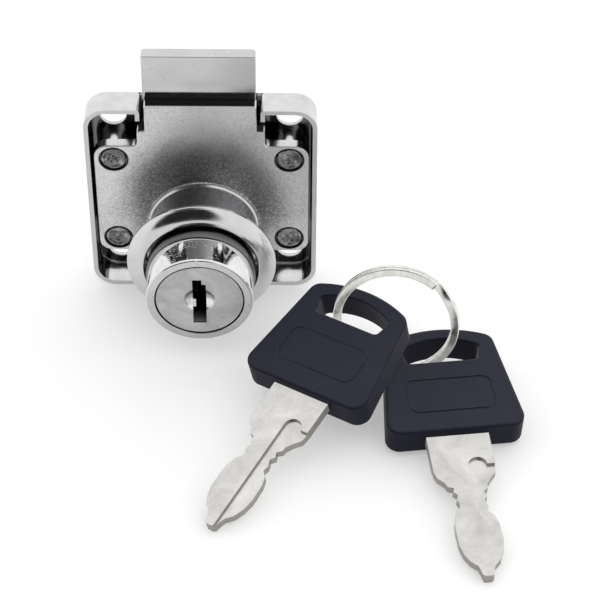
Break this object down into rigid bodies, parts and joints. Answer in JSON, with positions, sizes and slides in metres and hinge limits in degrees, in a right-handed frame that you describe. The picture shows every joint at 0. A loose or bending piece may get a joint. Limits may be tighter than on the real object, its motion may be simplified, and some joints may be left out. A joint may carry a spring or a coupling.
{
  "type": "drawer rim lock",
  "caption": "Surface-mounted drawer lock: square tray case, round key cylinder with trim ring, sliding bolt driven by an eccentric pin, keys on a split ring.",
  "frame": {"origin": "on the cylinder axis, in the plane of the case's front edge, which is the plane that seats on the back of the drawer front", "axes": "-Y out through the drawer front, the way the cylinder points; +Z the way the bolt is thrown; +X to the right seen from the front"},
  "size_m": [0.0748, 0.0759, 0.0494],
  "materials": {
    "case_nickel": "bright nickel-plated pressed steel, mirror-like with fine handling marks",
    "zinc_plate": "nickel-plated zinc die casting, satin grain with dark speckles",
    "rivet_steel": "dark gunmetal pressed rivet heads",
    "cap_chrome": "mirror chrome drawn cap",
    "trim_ring": "satin nickel ring",
    "plug_zinc": "satin nickel-plated zinc plug",
    "wafer_brass": "stamped brass wafers",
    "spring_steel": "drawn spring wire",
    "small_steel": "zinc-plated small steel parts",
    "bolt_steel": "nickel-plated steel bar with faint scratches",
    "key_nickel_silver": "stamped nickel-plated brass blades with milled flats",
    "bow_plastic": "dark blue-black moulded plastic, fine matte",
    "ring_nickel": "nickel-plated spring steel split ring"
  },
  "bodies": {
    "lock": {"case": "case_nickel", "lock_body": "zinc_plate", "rivets": "rivet_steel", "barrel_cap": "cap_chrome", "detent_ball": "small_steel", "detent_spring": "spring_steel", "detent_screw": "small_steel"},
    "plug": {"plug": "plug_zinc", "wafer_1": "wafer_brass", "wafer_2": "wafer_brass", "wafer_3": "wafer_brass", "wafer_4": "wafer_brass", "wafer_5": "wafer_brass", "wafer_6": "wafer_brass", "wafer_springs": "spring_steel", "driver_disc": "small_steel", "driver_pin": "small_steel", "driver_screw": "small_steel"},
    "bolt": {"bolt": "bolt_steel"},
    "trim_ring": {"trim_ring": "trim_ring"},
    "key_ring": {"key_ring": "ring_nickel"},
    "key_1": {"key_1_blade": "key_nickel_silver", "key_1_bow": "bow_plastic"},
    "key_2": {"key_2_blade": "key_nickel_silver", "key_2_bow": "bow_plastic"}
  },
  "joints": [
    {"name": "plug_turn", "type": "hinge", "parent": "lock", "child": "plug", "pos_m": [0, 0, 0], "axis": [0, 1, 0], "range_deg": [0, 180.1]},
    {"name": "bolt_slide", "type": "slide", "parent": "lock", "child": "bolt", "axis": [0, 0, 1], "range_m": [-0.009, 0]},
    {"name": "trim_ring_slide", "type": "slide", "parent": "lock", "child": "trim_ring", "axis": [0, -1, 0], "range_m": [-0.0088, 0.0105]},
    {"name": "key_set_lift", "type": "slide", "parent": "lock", "child": "key_ring", "axis": [0, 0, 1], "range_m": [0, 0.06]},
    {"name": "key_1_swing", "type": "hinge", "parent": "key_ring", "child": "key_1", "pos_m": [0.02362, -0.01943, -0.00308], "axis": [0, 0, 1], "range_deg": [-12, 0]},
    {"name": "key_2_swing", "type": "hinge", "parent": "key_ring", "child": "key_2", "pos_m": [0.04144, -0.02312, -0.00909], "axis": [0, 0, 1], "range_deg": [0, 3.5]}
  ],
  "couplings": [
    {"joint": "plug_turn", "follows": "bolt_slide", "rad_per_m": -349.07}
  ]
}
